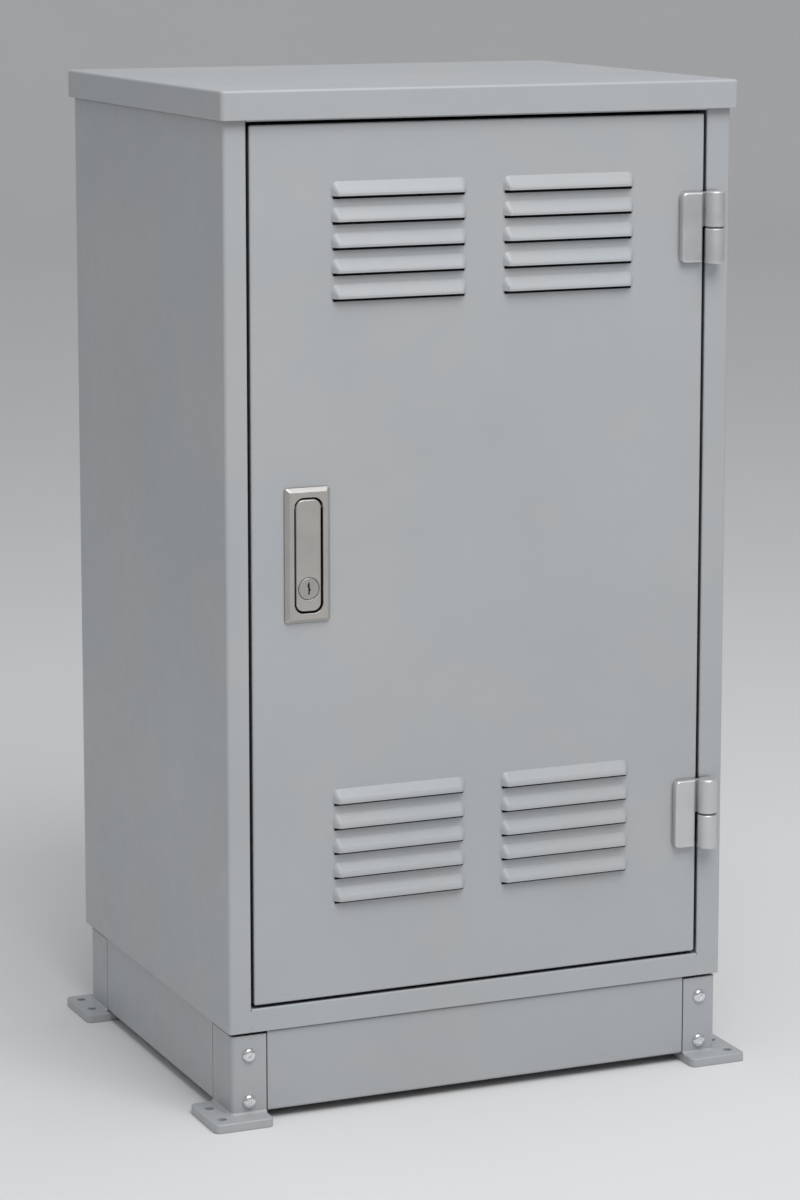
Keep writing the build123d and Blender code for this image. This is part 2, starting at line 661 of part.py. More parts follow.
louvre_columns = [louvre_column_offset + side * louvre_column_spacing / 2 for side in (-1, 1)]
louvre_banks = {"upper": louvre_bank_upper, "lower": louvre_bank_lower}
louvre_levels = [(i - (louvre_count - 1) / 2) * louvre_pitch for i in range(louvre_count)]
louvre_points = [(x, z + step) for x in louvre_columns for z in louvre_banks.values()
                 for step in louvre_levels]

door_width = door_right - door_left
door_height = door_top - door_bottom
door_x = (door_left + door_right) / 2
door_z = (door_bottom + door_top) / 2
door_outer = front_slab(Rectangle(door_width, door_height), (y_front, y_door_back), door_x, door_z)
door_outer = fillet(door_outer.edges().filter_by(Axis.Y), edge_bend)
door_outer = fillet(door_outer.faces().sort_by(Axis.Y)[0].edges(), edge_bend)
door_hollow = front_slab(RectangleRounded(door_width - 2 * sheet, door_height - 2 * sheet,
                                          edge_bend - sheet),
                         (y_front + sheet, y_door_back - sheet), door_x, door_z)
door_mouth = front_slab(RectangleRounded(door_width - 2 * door_lip, door_height - 2 * door_lip, edge_bend),
                        (y_door_back - 2 * sheet, y_door_back + 1), door_x, door_z)
door_panel = door_outer - door_hollow - door_mouth
hoods = [Pos(x, y_front, z) * hood for x, z in louvre_points]
voids = [Pos(x, y_front, z) * hood_void for x, z in louvre_points]
door_panel = door_panel.fuse(*hoods).cut(*voids)

tub_width = recess_width + 2 * recess_wall
tub_height = recess_height + 2 * recess_wall
tub_corner = recess_corner + recess_wall
tub_gap = 0.5
lock_cut = front_slab(RectangleRounded(tub_width + 2 * tub_gap, tub_height + 2 * tub_gap,
                                       tub_corner + tub_gap),
                      (y_front - 1, y_front + sheet + 1), x_lock, lock_centre)
lock_screw_radius = 1.5
lock_screw_x = recess_width * 0.4
lock_screw_z = (tub_height / 2 + lock_plate_height / 2) / 2
lock_screw_points = [(x_lock + sx * lock_screw_x, lock_centre + sz * lock_screw_z) for sx in (-1, 1)
                     for sz in (-1, 1)]
door_cuts = [lock_cut]
door_cuts += [rod_y(lock_screw_radius + stud_gap, x, (y_front - 1, y_front + sheet + 1), z) for x,
              z in lock_screw_points]
door_cuts += [rod_y(leaf_stud_radius + stud_gap, x, (y_front - 1, y_front + sheet + 1), z) for x,
              z in leaf_stud_points]
keep("door_panel", without(door_panel, door_cuts))

# Door stiffeners: hat channels spot-welded across the door
y_door_inner = y_front + sheet
stiffener_left = door_left + door_lip + 4.0
stiffener_right = door_right - door_lip - 4.0
hat_half = stiffener_width / 2
hat_brim = 9.0
for name, level in (("upper", stiffener_upper), ("lower", stiffener_lower)):
    hat = sheet_section(
        [(y_door_inner + sheet, level + hat_half), (y_door_inner + sheet, level + hat_half - hat_brim),
         (y_door_inner + stiffener_height, level + hat_half - hat_brim),
         (y_door_inner + stiffener_height, level - hat_half + hat_brim),
         (y_door_inner + sheet, level - hat_half + hat_brim), (y_door_inner + sheet, level - hat_half)],
        [inner_bend, edge_bend, edge_bend, inner_bend], sheet)
    keep("door_stiffener_" + name, along_x(hat, (stiffener_left, stiffener_right)))

# Filters behind each bank of louvres: a mat in a shallow frame on four studs
filter_width = louvre_column_spacing + louvre_length + 2 * filter_margin
filter_height = (louvre_count - 1) * louvre_pitch + louvre_rise + 2 * filter_margin
filter_stud_radius = 2.0
filter_stud_inset = 7.0
filter_rim = 14.0
filter_studs = []
filter_nuts = []
filter_nut = hex_nut(7.0, 3.2, filter_stud_radius)
for name, level in louvre_banks.items():
    z_filter = level + louvre_rise / 2
    mat_sketch = Rectangle(filter_width, filter_height)
    y_mat = (y_door_inner + filter_set_back, y_door_inner + filter_set_back + filter_depth)
    keep("filter_mat_" + name, front_slab(mat_sketch, y_mat, louvre_column_offset, z_filter))
    frame_width = filter_width + 2 * filter_rim
    frame_height = filter_height + 2 * sheet
    window_width = (filter_width - 3 * filter_margin) / 2
    frame = front_slab(Rectangle(filter_width + 2 * sheet, frame_height),
                       (y_door_inner + 0.2, y_mat[1] + sheet), louvre_column_offset, z_filter)
    frame += front_slab(Rectangle(frame_width, frame_height),
                        (y_door_inner + 0.2, y_door_inner + 0.2 + sheet),
                        louvre_column_offset, z_filter)
    frame -= front_slab(mat_sketch, (y_door_inner, y_mat[1]), louvre_column_offset, z_filter)
    for side in (-1, 1):
        window = Rectangle(window_width, filter_height - 2 * filter_margin)
        x_window = louvre_column_offset + side * (window_width + filter_margin) / 2
        frame -= front_slab(window, (y_door_inner, y_mat[1] + 2 * sheet), x_window, z_filter)
    places = [(louvre_column_offset + sx * (filter_width / 2 + filter_rim - filter_stud_inset),
               z_filter + sz * filter_height / 3) for sx in (-1, 1) for sz in (-1, 1)]
    for x, z in places:
        frame -= rod_y(filter_stud_radius + stud_gap, x, (y_door_inner, y_door_inner + 3 * sheet), z)
        filter_studs.append(rod_y(filter_stud_radius, x, (y_door_inner, y_door_inner + 9), z))
    keep("filter_frame_" + name, frame)
    filter_nuts += placed(filter_nut, "back", [(x, y_door_inner + 0.2 + sheet, z) for x, z in places])
keep("filter_studs", *filter_studs)
keep("filter_nuts", *filter_nuts)

z_door_stud = door_bottom + 45.0
x_door_stud = door_x
door_stud = rod_y(stud_radius, x_door_stud, (y_door_inner, y_door_inner + earth_stud_length * 0.6),
                  z_door_stud)
door_stud += rod_y(stud_radius * 2.2, x_door_stud, (y_door_inner, y_door_inner + 1.5), z_door_stud)
keep("earth_stud_door", door_stud)
door_nuts = placed(mounting_nut, "back", [(x_door_stud, y_door_inner + 1.5, z_door_stud)])


# Hinges: a leaf with the upper knuckle on the door, a lower knuckle with the pin on the frame

knuckle_round = 1.2
half_washer = hinge_washer / 2
pin_reach = knuckle_height * 0.4
leaf_round = 2.2
web_gap = 0.5


def knuckle(z):
    """A knuckle on the hinge axis between two levels."""
    barrel = rod_z(knuckle_radius, x_hinge, y_hinge, z)
    return chamfer(barrel.edges().filter_by(GeomType.CIRCLE), knuckle_round)


for name, level in hinge_levels.items():
    low = level - knuckle_height / 2
    high = level + knuckle_height / 2
    leaf_x = (x_leaf_left + x_leaf_right) / 2
    leaf = front_slab(Rectangle(leaf_width, leaf_height), (y_leaf_front, y_front), leaf_x, level)
    left_corners = leaf.edges().filter_by(Axis.Y).group_by(Axis.X)[0]
    leaf = fillet(left_corners, leaf_round * 2.2)
    leaf = fillet(leaf.faces().sort_by(Axis.Y)[0].edges(), leaf_round)
    web = block((x_leaf_right - leaf_round, x_hinge), (y_front - leaf_thickness * 0.5, y_front - web_gap),
                (level + half_washer, high - knuckle_round))
    leaf = leaf + web + knuckle((level + half_washer, high))
    leaf -= rod_z(pin_radius + running_gap, x_hinge, y_hinge, (level, level + pin_reach + 1))
    for x, z in leaf_stud_points:
        if abs(z - level) < leaf_height:
            leaf += rod_y(leaf_stud_radius, x, (y_front - 1, y_front + sheet + 8), z)
    keep("hinge_leaf_" + name, leaf)

    base = knuckle((low, level - half_washer))
    base += block((x_base_left, x_base_right), (y_hinge, y_front),
                  (low + knuckle_round, level - half_washer - knuckle_round))
    base -= rod_z(pin_radius, x_hinge, y_hinge, (level - pin_reach, level))
    for x, z in base_stud_points:
        if abs(z - level) < knuckle_height:
            base += rod_y(base_stud_radius, x, (y_front - 1, y_front + sheet + 7), z)
    keep("hinge_base_" + name, base)
    pin = rod_z(pin_radius, x_hinge, y_hinge, (level - pin_reach, level + pin_reach))
    keep("hinge_pin_" + name, chamfer(pin.edges().sort_by(Axis.Z)[-1], 1.0))

ring = washer(knuckle_radius - 0.6, pin_radius + running_gap, hinge_washer)
keep("hinge_washers",
     *[Pos(x_hinge, y_hinge, level - half_washer) * ring for level in hinge_levels.values()])
door_nuts += placed(mounting_nut, "back", [(x, y_door_inner, z) for x, z in leaf_stud_points])
keep("door_nuts", *door_nuts)
small_nuts += placed(gland_nut, "back", [(x, y_front + sheet, z) for x, z in base_stud_points])
keep("small_nuts", *small_nuts)


# Lock: housing, pull handle on its pin, push button with key plug, and the sliding latch

y_plate = y_front - lock_plate_thickness
y_handle = y_plate + handle_set_back
y_handle_back = y_handle + handle_thickness
z_handle_top = lock_centre + recess_height / 2 - handle_gap
z_pin = z_handle_top - handle_pin_drop
y_pin = y_front
z_barrel = lock_centre - lock_barrel_drop
y_tub_back = y_front + recess_depth + recess_wall
y_latch = y_lip + sheet + 0.8
z_latch_high = z_pin - latch_height - 4.0
z_latch_low = z_latch_high - latch_height
lever_half = 4.0
lever_gap = 1.2
lever_thickness = 6.0
lever_reach = y_latch + latch_thickness + 3.4 - y_pin
x_guide = (x_lock - 30.0, x_lock + 26.0)

y_bevel = y_plate + lock_plate_bevel
lock_plate = front_slab(RectangleRounded(lock_plate_width, lock_plate_height, 3.0), (y_bevel, y_front),
                        x_lock, lock_centre)
bevel_wide = RectangleRounded(lock_plate_width, lock_plate_height, 3.0)
bevel_narrow = RectangleRounded(lock_plate_width - 2 * lock_plate_bevel,
                                lock_plate_height - 2 * lock_plate_bevel, 1.2)
bevel_planes = [Plane(origin=(x_lock, y, lock_centre), x_dir=(1, 0, 0), z_dir=(0, -1, 0))
                for y in (y_bevel, y_plate)]
lock_plate += loft([bevel_planes[0] * bevel_wide, bevel_planes[1] * bevel_narrow])
tub = front_slab(RectangleRounded(tub_width, tub_height, tub_corner), (y_front - 1, y_tub_back), x_lock,
                 lock_centre)
recess_sketch = RectangleRounded(recess_width, recess_height, recess_corner)
recess = front_slab(recess_sketch, (y_plate - 1, y_front + recess_depth), x_lock, lock_centre)
housing = lock_plate + tub - recess
mouth = [e for e in housing.faces().sort_by(Axis.Y)[0].inner_wires()[0].edges()]
housing = fillet(mouth, 0.5)
ledge_gap = lock_barrel_radius + 1.5
ledge_y = (y_front + 8.5, y_front + 11.5)
for side in (-1, 1):
    x_ledge = sorted((x_lock + side * ledge_gap, x_lock + side * (recess_width / 2 + 1)))
    housing += block(x_ledge, ledge_y, (z_barrel - 10, z_barrel + 10))
lever_slot = block((x_lock - lever_half - lever_gap, x_lock + lever_half + lever_gap),
                   (y_front + recess_depth - 1, y_tub_back + 1),
                   (z_pin - 19.0, z_pin + lever_thickness / 2 + 1.5))
housing -= lever_slot
pin_half = recess_width / 2 + recess_wall * 0.8
housing -= rod_x(handle_pin_radius + 0.02, (x_lock - pin_half - 0.02, x_lock + pin_half + 0.02), y_pin,
                 z_pin)
for x, z in lock_screw_points:
    housing -= rod_y(lock_screw_radius, x, (y_plate + lock_plate_thickness * 0.45, y_front + 1), z)
keep("lock_housing", housing)
keep("handle_pin", rod_x(handle_pin_radius, (x_lock - pin_half, x_lock + pin_half), y_pin, z_pin))

clamp_thickness = 2.0
clamp_ring = RectangleRounded(tub_width + 18, lock_plate_height + 6, 6)
clamp_ring -= RectangleRounded(tub_width + 1, tub_height + 1, tub_corner + 0.5)
lock_clamp = front_slab(clamp_ring, (y_door_inner, y_door_inner + clamp_thickness), x_lock, lock_centre)
lock_clamp = without(lock_clamp,
                     [rod_y(lock_screw_radius + stud_gap, x,
                            (y_door_inner - 1, y_door_inner + clamp_thickness + 1), z)
                                  for x, z in lock_screw_points])
keep("lock_clamp", lock_clamp)
y_clamp_back = y_door_inner + clamp_thickness
lock_screw = pan_bolt(lock_screw_radius, y_clamp_back - y_plate - lock_plate_thickness * 0.5, 2.8, 1.8)
keep("lock_screws", *placed(lock_screw, "back", [(x, y_clamp_back, z) for x, z in lock_screw_points]))

# Pull handle: a face plate with a boss for the barrel, a lever at the pin and a pocket for the spring
handle_width = recess_width - 2 * handle_gap
handle_height = recess_height - 2 * handle_gap
handle = front_slab(RectangleRounded(handle_width, handle_height, recess_corner - handle_gap),
                    (y_handle, y_handle_back), x_lock, lock_centre)
handle = fillet(handle.faces().sort_by(Axis.Y)[0].edges(), 1.8)
face_depth = 3.0
boss_back = y_front + 7.0
handle += rod_y(lock_barrel_radius + 2.6, x_lock, (y_handle_back - 1, boss_back), z_barrel)
lever = block((x_lock - lever_half, x_lock + lever_half), (y_handle_back - 1, y_pin + lever_reach),
              (z_pin - lever_thickness / 2, z_pin + lever_thickness / 2))
handle += fillet(lever.faces().sort_by(Axis.Y)[-1].edges().filter_by(Axis.X), lever_thickness * 0.35)
counterbore_back = y_handle + face_depth + button_travel + 0.5
handle -= rod_y(lock_face_radius + lock_face_gap, x_lock, (y_handle - 1, counterbore_back), z_barrel)
handle -= rod_y(lock_barrel_radius + running_gap, x_lock, (y_handle, boss_back + 1), z_barrel)
handle -= rod_x(handle_pin_radius + running_gap, (x_lock - handle_width, x_lock + handle_width), y_pin,
                z_pin)
spring_wire = 0.5
spring_radius = handle_pin_radius + spring_wire + running_gap
spring_turns = 4
spring_pitch = 1.3
spring_clear = 0.6
spring_x = (x_lock + lever_half + 1.6, x_lock + lever_half + 1.6 + spring_turns * spring_pitch)
pocket_x = (spring_x[0] - 1.2, spring_x[1] + 1.2)
pocket_radius = spring_radius + spring_wire + spring_clear
handle -= rod_x(pocket_radius, pocket_x, y_pin, z_pin)
handle -= block(pocket_x, (y_pin, y_handle_back + 1), (z_pin - pocket_radius, z_pin + pocket_radius))
keep("pull_handle", handle)
coil_path = Pos(spring_x[0], y_pin, z_pin) * Rot(0, 90, 0) * Helix(spring_pitch,
                                                                   spring_turns * spring_pitch, spring_radius)
coil_start = Plane(origin=coil_path @ 0, z_dir=coil_path % 0)
keep("handle_spring", sweep(coil_start * RegularPolygon(spring_wire, 6), path=coil_path))

# Barrel, which pushes in to let the handle go, and the key plug with its cam inside it
y_face = y_handle - 0.4
y_barrel_front = y_face + face_depth
barrel_back = y_front + 12.0
barrel = rod_y(lock_barrel_radius, x_lock, (y_barrel_front, barrel_back), z_barrel)
barrel -= rod_y(lock_core_radius + running_gap, x_lock, (y_barrel_front - 1, barrel_back + 1), z_barrel)
keep("lock_button", barrel)
plug_face = rod_y(lock_face_radius, x_lock, (y_face, y_barrel_front - 0.1), z_barrel)
plug_face = fillet(plug_face.edges().filter_by(GeomType.CIRCLE).sort_by(Axis.Y)[0], 0.9)
core_back = barrel_back + 0.4
cam_thickness = 2.4
cam_length = 12.6
cam_half = 3.4
plug = plug_face + rod_y(lock_core_radius, x_lock, (y_face + 1, core_back + cam_thickness), z_barrel)
cam = block((x_lock - cam_half, x_lock + cam_half), (core_back, core_back + cam_thickness),
            (z_barrel, z_barrel + cam_length - cam_half))
cam += rod_y(cam_half, x_lock, (core_back, core_back + cam_thickness), z_barrel + cam_length - cam_half)
keyway_half = 6.2
keyway = block((x_lock - 0.75, x_lock + 0.75), (y_face - 1, y_face + 2.4),
               (z_barrel - keyway_half, z_barrel + keyway_half))
keyway += block((x_lock - 1.5, x_lock + 0.3), (y_face - 1, y_face + 2.4), (z_barrel + 0.8, z_barrel + 4.6))
keyway += block((x_lock - 0.3, x_lock + 1.7), (y_face - 1, y_face + 2.4), (z_barrel - 2.6, z_barrel + 0.2))
keep("key_plug", plug + cam - keyway)

# Latch: a flat tongue with a ramp that the handle's lever presses down on, in a guide behind the housing
latch_tip = open_left + lip_width - latch_overlap
ramp_x = x_lock + lever_half
ramp_z = z_pin - lever_thickness / 2 - 0.4
ramp_low_x = ramp_x - (ramp_z - z_latch_high) / latch_ramp
ramp_top_x = ramp_x + 1.0
tongue_nose = 5.0
tongue_outline = Polyline(
    (latch_tip, z_latch_low), (x_lock + 14.0, z_latch_low), (x_lock + 14.0, ramp_z + latch_ramp),
    (ramp_top_x, ramp_z + latch_ramp), (ramp_low_x, z_latch_high), (latch_tip, z_latch_high), close=True)
tongue = front_slab(make_face(tongue_outline), (y_latch, y_latch + latch_thickness))
nose_edges = tongue.edges().filter_by(Axis.Z).group_by(Axis.X)[0].sort_by(Axis.Y)[-1]
tongue = chamfer(nose_edges, latch_thickness * 0.7)
keep("latch_tongue", tongue)

slide_gap = 0.3
guide_wall = 3.0
guide = block(x_guide, (y_tub_back, y_latch + latch_thickness + slide_gap + guide_wall),
              (z_latch_low - guide_wall - slide_gap, z_latch_high + guide_wall + slide_gap))
guide -= block((x_guide[0] - 1, x_guide[1] + 1),
               (y_latch - slide_gap, y_latch + latch_thickness + slide_gap),
               (z_latch_low - slide_gap, z_latch_high + slide_gap))
guide -= block((ramp_low_x - 2.0, x_guide[1] + 1),
               (y_tub_back - 1, y_latch + latch_thickness + 3 * guide_wall),
               (z_latch_high - 6.0, z_latch_high + 4 * guide_wall))
guide_screw_z = (z_latch_low + z_latch_high) / 2
guide_screw_x = [x_lock - 12.0]
keep("latch_guide", guide)

os.makedirs("parts", exist_ok=True)
for name, shape in nodes.items():
    export_step(shape, os.path.join("parts", name + ".step"))
    box = shape.bounding_box()
    print(f"{name:22s} {shape.volume:12.0f} mm3  {box.size.X:7.1f} {box.size.Y:7.1f} {box.size.Z:7.1f}")
print(len(nodes), "nodes")
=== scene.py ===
import json
import math

import bmesh
import bpy
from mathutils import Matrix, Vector

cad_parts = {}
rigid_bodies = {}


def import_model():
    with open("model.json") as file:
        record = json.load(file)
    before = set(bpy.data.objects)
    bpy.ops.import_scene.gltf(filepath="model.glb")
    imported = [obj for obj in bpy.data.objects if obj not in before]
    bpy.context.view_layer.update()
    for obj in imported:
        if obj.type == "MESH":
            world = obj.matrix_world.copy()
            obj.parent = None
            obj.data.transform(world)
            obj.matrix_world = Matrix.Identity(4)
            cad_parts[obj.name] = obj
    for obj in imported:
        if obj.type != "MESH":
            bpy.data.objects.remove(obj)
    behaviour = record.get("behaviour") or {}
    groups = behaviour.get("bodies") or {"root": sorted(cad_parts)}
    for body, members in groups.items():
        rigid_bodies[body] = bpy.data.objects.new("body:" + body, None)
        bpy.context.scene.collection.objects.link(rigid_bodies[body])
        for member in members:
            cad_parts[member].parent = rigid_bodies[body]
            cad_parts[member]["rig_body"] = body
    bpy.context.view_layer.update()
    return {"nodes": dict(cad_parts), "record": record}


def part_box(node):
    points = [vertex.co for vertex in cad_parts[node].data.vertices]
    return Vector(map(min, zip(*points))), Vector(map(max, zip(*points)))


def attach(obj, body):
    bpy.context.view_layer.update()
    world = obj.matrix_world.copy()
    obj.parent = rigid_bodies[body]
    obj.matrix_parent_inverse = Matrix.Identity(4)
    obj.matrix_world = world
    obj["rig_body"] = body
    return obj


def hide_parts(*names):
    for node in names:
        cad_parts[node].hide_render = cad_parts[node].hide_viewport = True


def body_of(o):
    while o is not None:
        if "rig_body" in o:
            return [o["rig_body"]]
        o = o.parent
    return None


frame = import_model()
nodes = frame["nodes"]

# Camera: the photo's long-lens view from the front left, in metres and degrees
camera_place = Vector((-1.4971, -3.4746, 1.1964))
camera_azimuth = 23.354
camera_tilt = 9.068
lens_mm = 111.08
camera_shift = -0.1

# Finishes, as linear colours
grey_paint = (0.442, 0.460, 0.474)
# The plinth's paint is the body's paint made about 4% darker, as painted shade for the light falling off
# towards the floor
plinth_paint_darkened_as_shade = (0.425, 0.442, 0.458)
alloy_colour = (0.525, 0.505, 0.48)
hinge_colour = (0.66, 0.668, 0.675)
zinc_colour = (0.80, 0.81, 0.82)
galvanised_colour = (0.52, 0.54, 0.55)
rubber_colour = (0.018, 0.018, 0.019)
foam_colour = (0.022, 0.022, 0.023)
brass_colour = (0.63, 0.43, 0.16)
plastic_colour = (0.10, 0.105, 0.11)
plug_colour = (0.46, 0.442, 0.42)
# A near-black for the painted shade inside the lock's recess and keyway
painted_recess_shade_colour = (0.006, 0.006, 0.006)
floor_colour = (0.80, 0.80, 0.80)

MM = 0.001
WELD = 1e-6  # points closer than this are one point


class Graph:
    """A node material put together one node at a time."""

    def __init__(self, name):
        self.material = bpy.data.materials.new(name)
        self.material.use_nodes = True
        self.tree = self.material.node_tree
        self.tree.nodes.clear()
        self.output = self.add("ShaderNodeOutputMaterial")
        self.shader = self.add("ShaderNodeBsdfPrincipled")
        self.join(self.shader.outputs[0], self.output.inputs["Surface"])
        self.place = self.add("ShaderNodeTexCoord").outputs["Object"]
        self.soft_normal = None

    def add(self, kind, **settings):
        node = self.tree.nodes.new(kind)
        for name, value in settings.items():
            setattr(node, name, value)
        return node

    def join(self, start, end):
        self.tree.links.new(start, end)

    def feed(self, socket, value):
        """Links an output to a socket, or sets a plain value on it."""
        if isinstance(value, bpy.types.NodeSocket):
            self.join(value, socket)
        else:
            socket.default_value = value

    def put(self, **inputs):
        """Feeds the main shader; an underscore in a name stands for a space."""
        for name, value in inputs.items():
            self.feed(self.shader.inputs[name.replace("_", " ")], value)

    def noise(self, scale, detail=2.0, rough=0.5):
        node = self.add("ShaderNodeTexNoise")
        self.join(self.place, node.inputs["Vector"])
        node.inputs["Scale"].default_value = scale
        node.inputs["Detail"].default_value = detail
        node.inputs["Roughness"].default_value = rough
        return node.outputs["Fac"]

    def span(self, value, low, high, start=0.0, end=1.0):
        """Maps a value from start..end to low..high."""
        node = self.add("ShaderNodeMapRange")
        self.join(value, node.inputs["Value"])
        node.inputs["From Min"].default_value = start
        node.inputs["From Max"].default_value = end
        node.inputs["To Min"].default_value = low
        node.inputs["To Max"].default_value = high
        return node.outputs[0]

    def vary(self, noise, low, high):
        """Maps the range that a noise mostly has to low..high."""
        return self.span(noise, low, high, 0.3, 0.7)

    def maths(self, operation, a, b=0.0):
        node = self.add("ShaderNodeMath", operation=operation)
        self.feed(node.inputs[0], a)
        self.feed(node.inputs[1], b)
        return node.outputs[0]

    def scaled(self, colour, strength):
        """A colour times a strength."""
        node = self.add("ShaderNodeVectorMath", operation="SCALE")
        self.feed(node.inputs[0], colour)
        self.feed(node.inputs["Scale"], strength)
        return node.outputs[0]

    def blend(self, factor, a, b):
        """A mix of two plain colours."""
        node = self.add("ShaderNodeMix", data_type="RGBA")
        self.feed(node.inputs[0], factor)
        node.inputs[6].default_value = (*a, 1.0)
        node.inputs[7].default_value = (*b, 1.0)
        return node.outputs[2]

    def painted_crease_shade(self, reach, darkest):
        """Painted shade: falls from 1 to darkest in narrow gaps and corners, from an occlusion node."""
        node = self.add("ShaderNodeAmbientOcclusion", samples=4)
        node.inputs["Distance"].default_value = reach
        return self.span(node.outputs["AO"], darkest, 1.0, 0.3, 0.72)

    def mixed(self, factor, a, colour):
        """A colour that turns into a plain one as a factor goes to 1."""
        node = self.add("ShaderNodeMix", data_type="RGBA")
        self.feed(node.inputs[0], factor)
        self.join(a, node.inputs[6])
        node.inputs[7].default_value = (*colour, 1.0)
        return node.outputs[2]

    def between(self, axis, low, high, soft):
        """1 where the object's coordinate lies between two values, with soft ends."""
        parts = self.add("ShaderNodeSeparateXYZ")
        self.join(self.place, parts.inputs[0])
        value = parts.outputs[axis]
        rising = self.span(value, 0.0, 1.0, low - soft / 2, low + soft / 2)
        falling = self.span(value, 1.0, 0.0, high - soft / 2, high + soft / 2)
        return self.maths("MULTIPLY", rising, falling)

    def bump(self, height, strength, depth):
        """Raises the surface a little by a height, over softened edges where there are any."""
        node = self.add("ShaderNodeBump")
        self.join(height, node.inputs["Height"])
        node.inputs["Strength"].default_value = strength
        node.inputs["Distance"].default_value = depth
        if self.soft_normal:
            self.join(self.soft_normal, node.inputs["Normal"])
        self.join(node.outputs[0], self.shader.inputs["Normal"])

    def soften(self, radius, samples=6):
        """Rounds the shading of edges; the result is 1 on those edges and 0 on flat faces."""
        bevel = self.add("ShaderNodeBevel", samples=samples)
        bevel.inputs["Radius"].default_value = radius
        self.soft_normal = bevel.outputs[0]
        geometry = self.add("ShaderNodeNewGeometry")
        dot = self.add("ShaderNodeVectorMath", operation="DOT_PRODUCT")
        self.join(bevel.outputs[0], dot.inputs[0])
        self.join(geometry.outputs["Normal"], dot.inputs[1])
        return self.span(dot.outputs["Value"], 1.0, 0.0, 0.75, 0.995)


def powder_coat(name, colour, darkest=0.1):
    """Satin powder coat: orange-peel skin, faint cloudy patches, a painted highlight on edges and
    painted shade in gaps and corners.
    """
    g = Graph(name)
    cloud = g.noise(4.0, 4.0, 0.6)
    warm = g.noise(6.5, 3.0, 0.55)
    speck = g.noise(900.0, 2.0, 0.6)
    edge = g.soften(0.8 * MM)
    value = g.maths("MULTIPLY", g.vary(cloud, 0.965, 1.035), g.vary(speck, 0.985, 1.015))
    # Painted highlight: the colour is lifted along edges, where the softened normal turns
    value = g.maths("ADD", value, g.span(edge, 0.0, 0.14))
    # Painted shade: the colour darkens in narrow gaps and corners
    value = g.maths("MULTIPLY", value, g.painted_crease_shade(6.0 * MM, darkest))
    red, green, blue = colour
    warmer = (red * 1.02, green, blue * 0.975)
    cooler = (red * 0.985, green, blue * 1.02)
    mixed = g.blend(g.span(warm, 0.0, 1.0, 0.35, 0.65), warmer, cooler)
    g.put(Base_Color=g.scaled(mixed, value), Roughness=g.vary(g.noise(60.0, 2.0), 0.36, 0.46))
    g.put(Coat_Weight=0.12, Coat_Roughness=0.25)
    g.bump(g.noise(1100.0, 1.0, 0.4), 0.10, 0.2 * MM)
    return g.material


def cast_alloy(name, colour, roughness=0.40):
    """Die-cast alloy with a satin plated finish; the graph is given back, to build on."""
    g = Graph(name)
    cloud = g.noise(45.0, 3.0, 0.5)
    edge = g.soften(0.7 * MM)
    # Painted highlight: the colour is lifted along edges, on top of a random tone
    value = g.maths("ADD", g.vary(cloud, 0.95, 1.04), g.span(edge, 0.0, 0.6))
    g.base = g.scaled(colour, value)
    g.put(Base_Color=g.base, Roughness=g.vary(cloud, roughness - 0.03, roughness + 0.05))
    g.put(Metallic=0.8)
    g.bump(g.noise(1600.0, 2.0, 0.6), 0.10, 0.1 * MM)
    return g


def plated(name, colour, roughness=0.2):
    """Bright zinc plating with fine turning marks."""
    g = Graph(name)
    patch = g.noise(180.0, 3.0, 0.6)
    g.soften(0.3 * MM)
    g.put(Base_Color=g.scaled(colour, g.vary(patch, 0.9, 1.06)),
          Roughness=g.vary(patch, roughness - 0.05, roughness + 0.08))
    g.put(Metallic=1.0)
    g.bump(g.noise(2600.0, 1.0, 0.5), 0.12, 0.08 * MM)
    return g.material


def galvanised(name, colour):
    """Hot-dip galvanised sheet with its crystal pattern."""
    g = Graph(name)
    crystals = g.add("ShaderNodeTexVoronoi", feature="F1")
    g.join(g.place, crystals.inputs["Vector"])
    crystals.inputs["Scale"].default_value = 90.0
    spangle = g.add("ShaderNodeSeparateColor")
    g.join(crystals.outputs["Color"], spangle.inputs[0])
    g.put(Base_Color=g.scaled(colour, g.span(spangle.outputs[0], 0.86, 1.08)),
          Roughness=g.span(spangle.outputs[1], 0.34, 0.52))
    g.put(Metallic=0.9)
    g.bump(g.noise(700.0, 2.0), 0.08, 0.1 * MM)
    return g.material


def rubber(name, colour):
    """Matt rubber with fine pores."""
    g = Graph(name)
    pores = g.noise(2200.0, 3.0, 0.7)
    g.put(Base_Color=g.scaled(colour, g.vary(g.noise(60.0), 0.8, 1.5)),
          Roughness=g.vary(pores, 0.6, 0.8))
    g.bump(pores, 0.3, 0.15 * MM)
    return g.material


def foam(name, colour):
    """Open-cell filter foam."""
    g = Graph(name)
    cells = g.add("ShaderNodeTexVoronoi", feature="F1")
    g.join(g.place, cells.inputs["Vector"])
    cells.inputs["Scale"].default_value = 650.0
    # Painted shade and light: the cells are darker in their pits and lighter at their rims
    depth = g.span(cells.outputs["Distance"], 0.35, 1.5, 0.0, 0.7)
    g.put(Base_Color=g.scaled(colour, depth), Roughness=0.95)
    g.bump(depth, 0.8, 0.6 * MM)
    return g.material


def metal(name, colour, roughness):
    """Bare drawn metal, a little tarnished."""
    g = Graph(name)
    patch = g.noise(120.0, 3.0, 0.6)
    g.put(Base_Color=g.scaled(colour, g.vary(patch, 0.85, 1.1)),
          Roughness=g.vary(patch, roughness - 0.05, roughness + 0.12))
    g.put(Metallic=1.0)
    g.bump(g.noise(1500.0, 2.0), 0.12, 0.08 * MM)
    return g.material


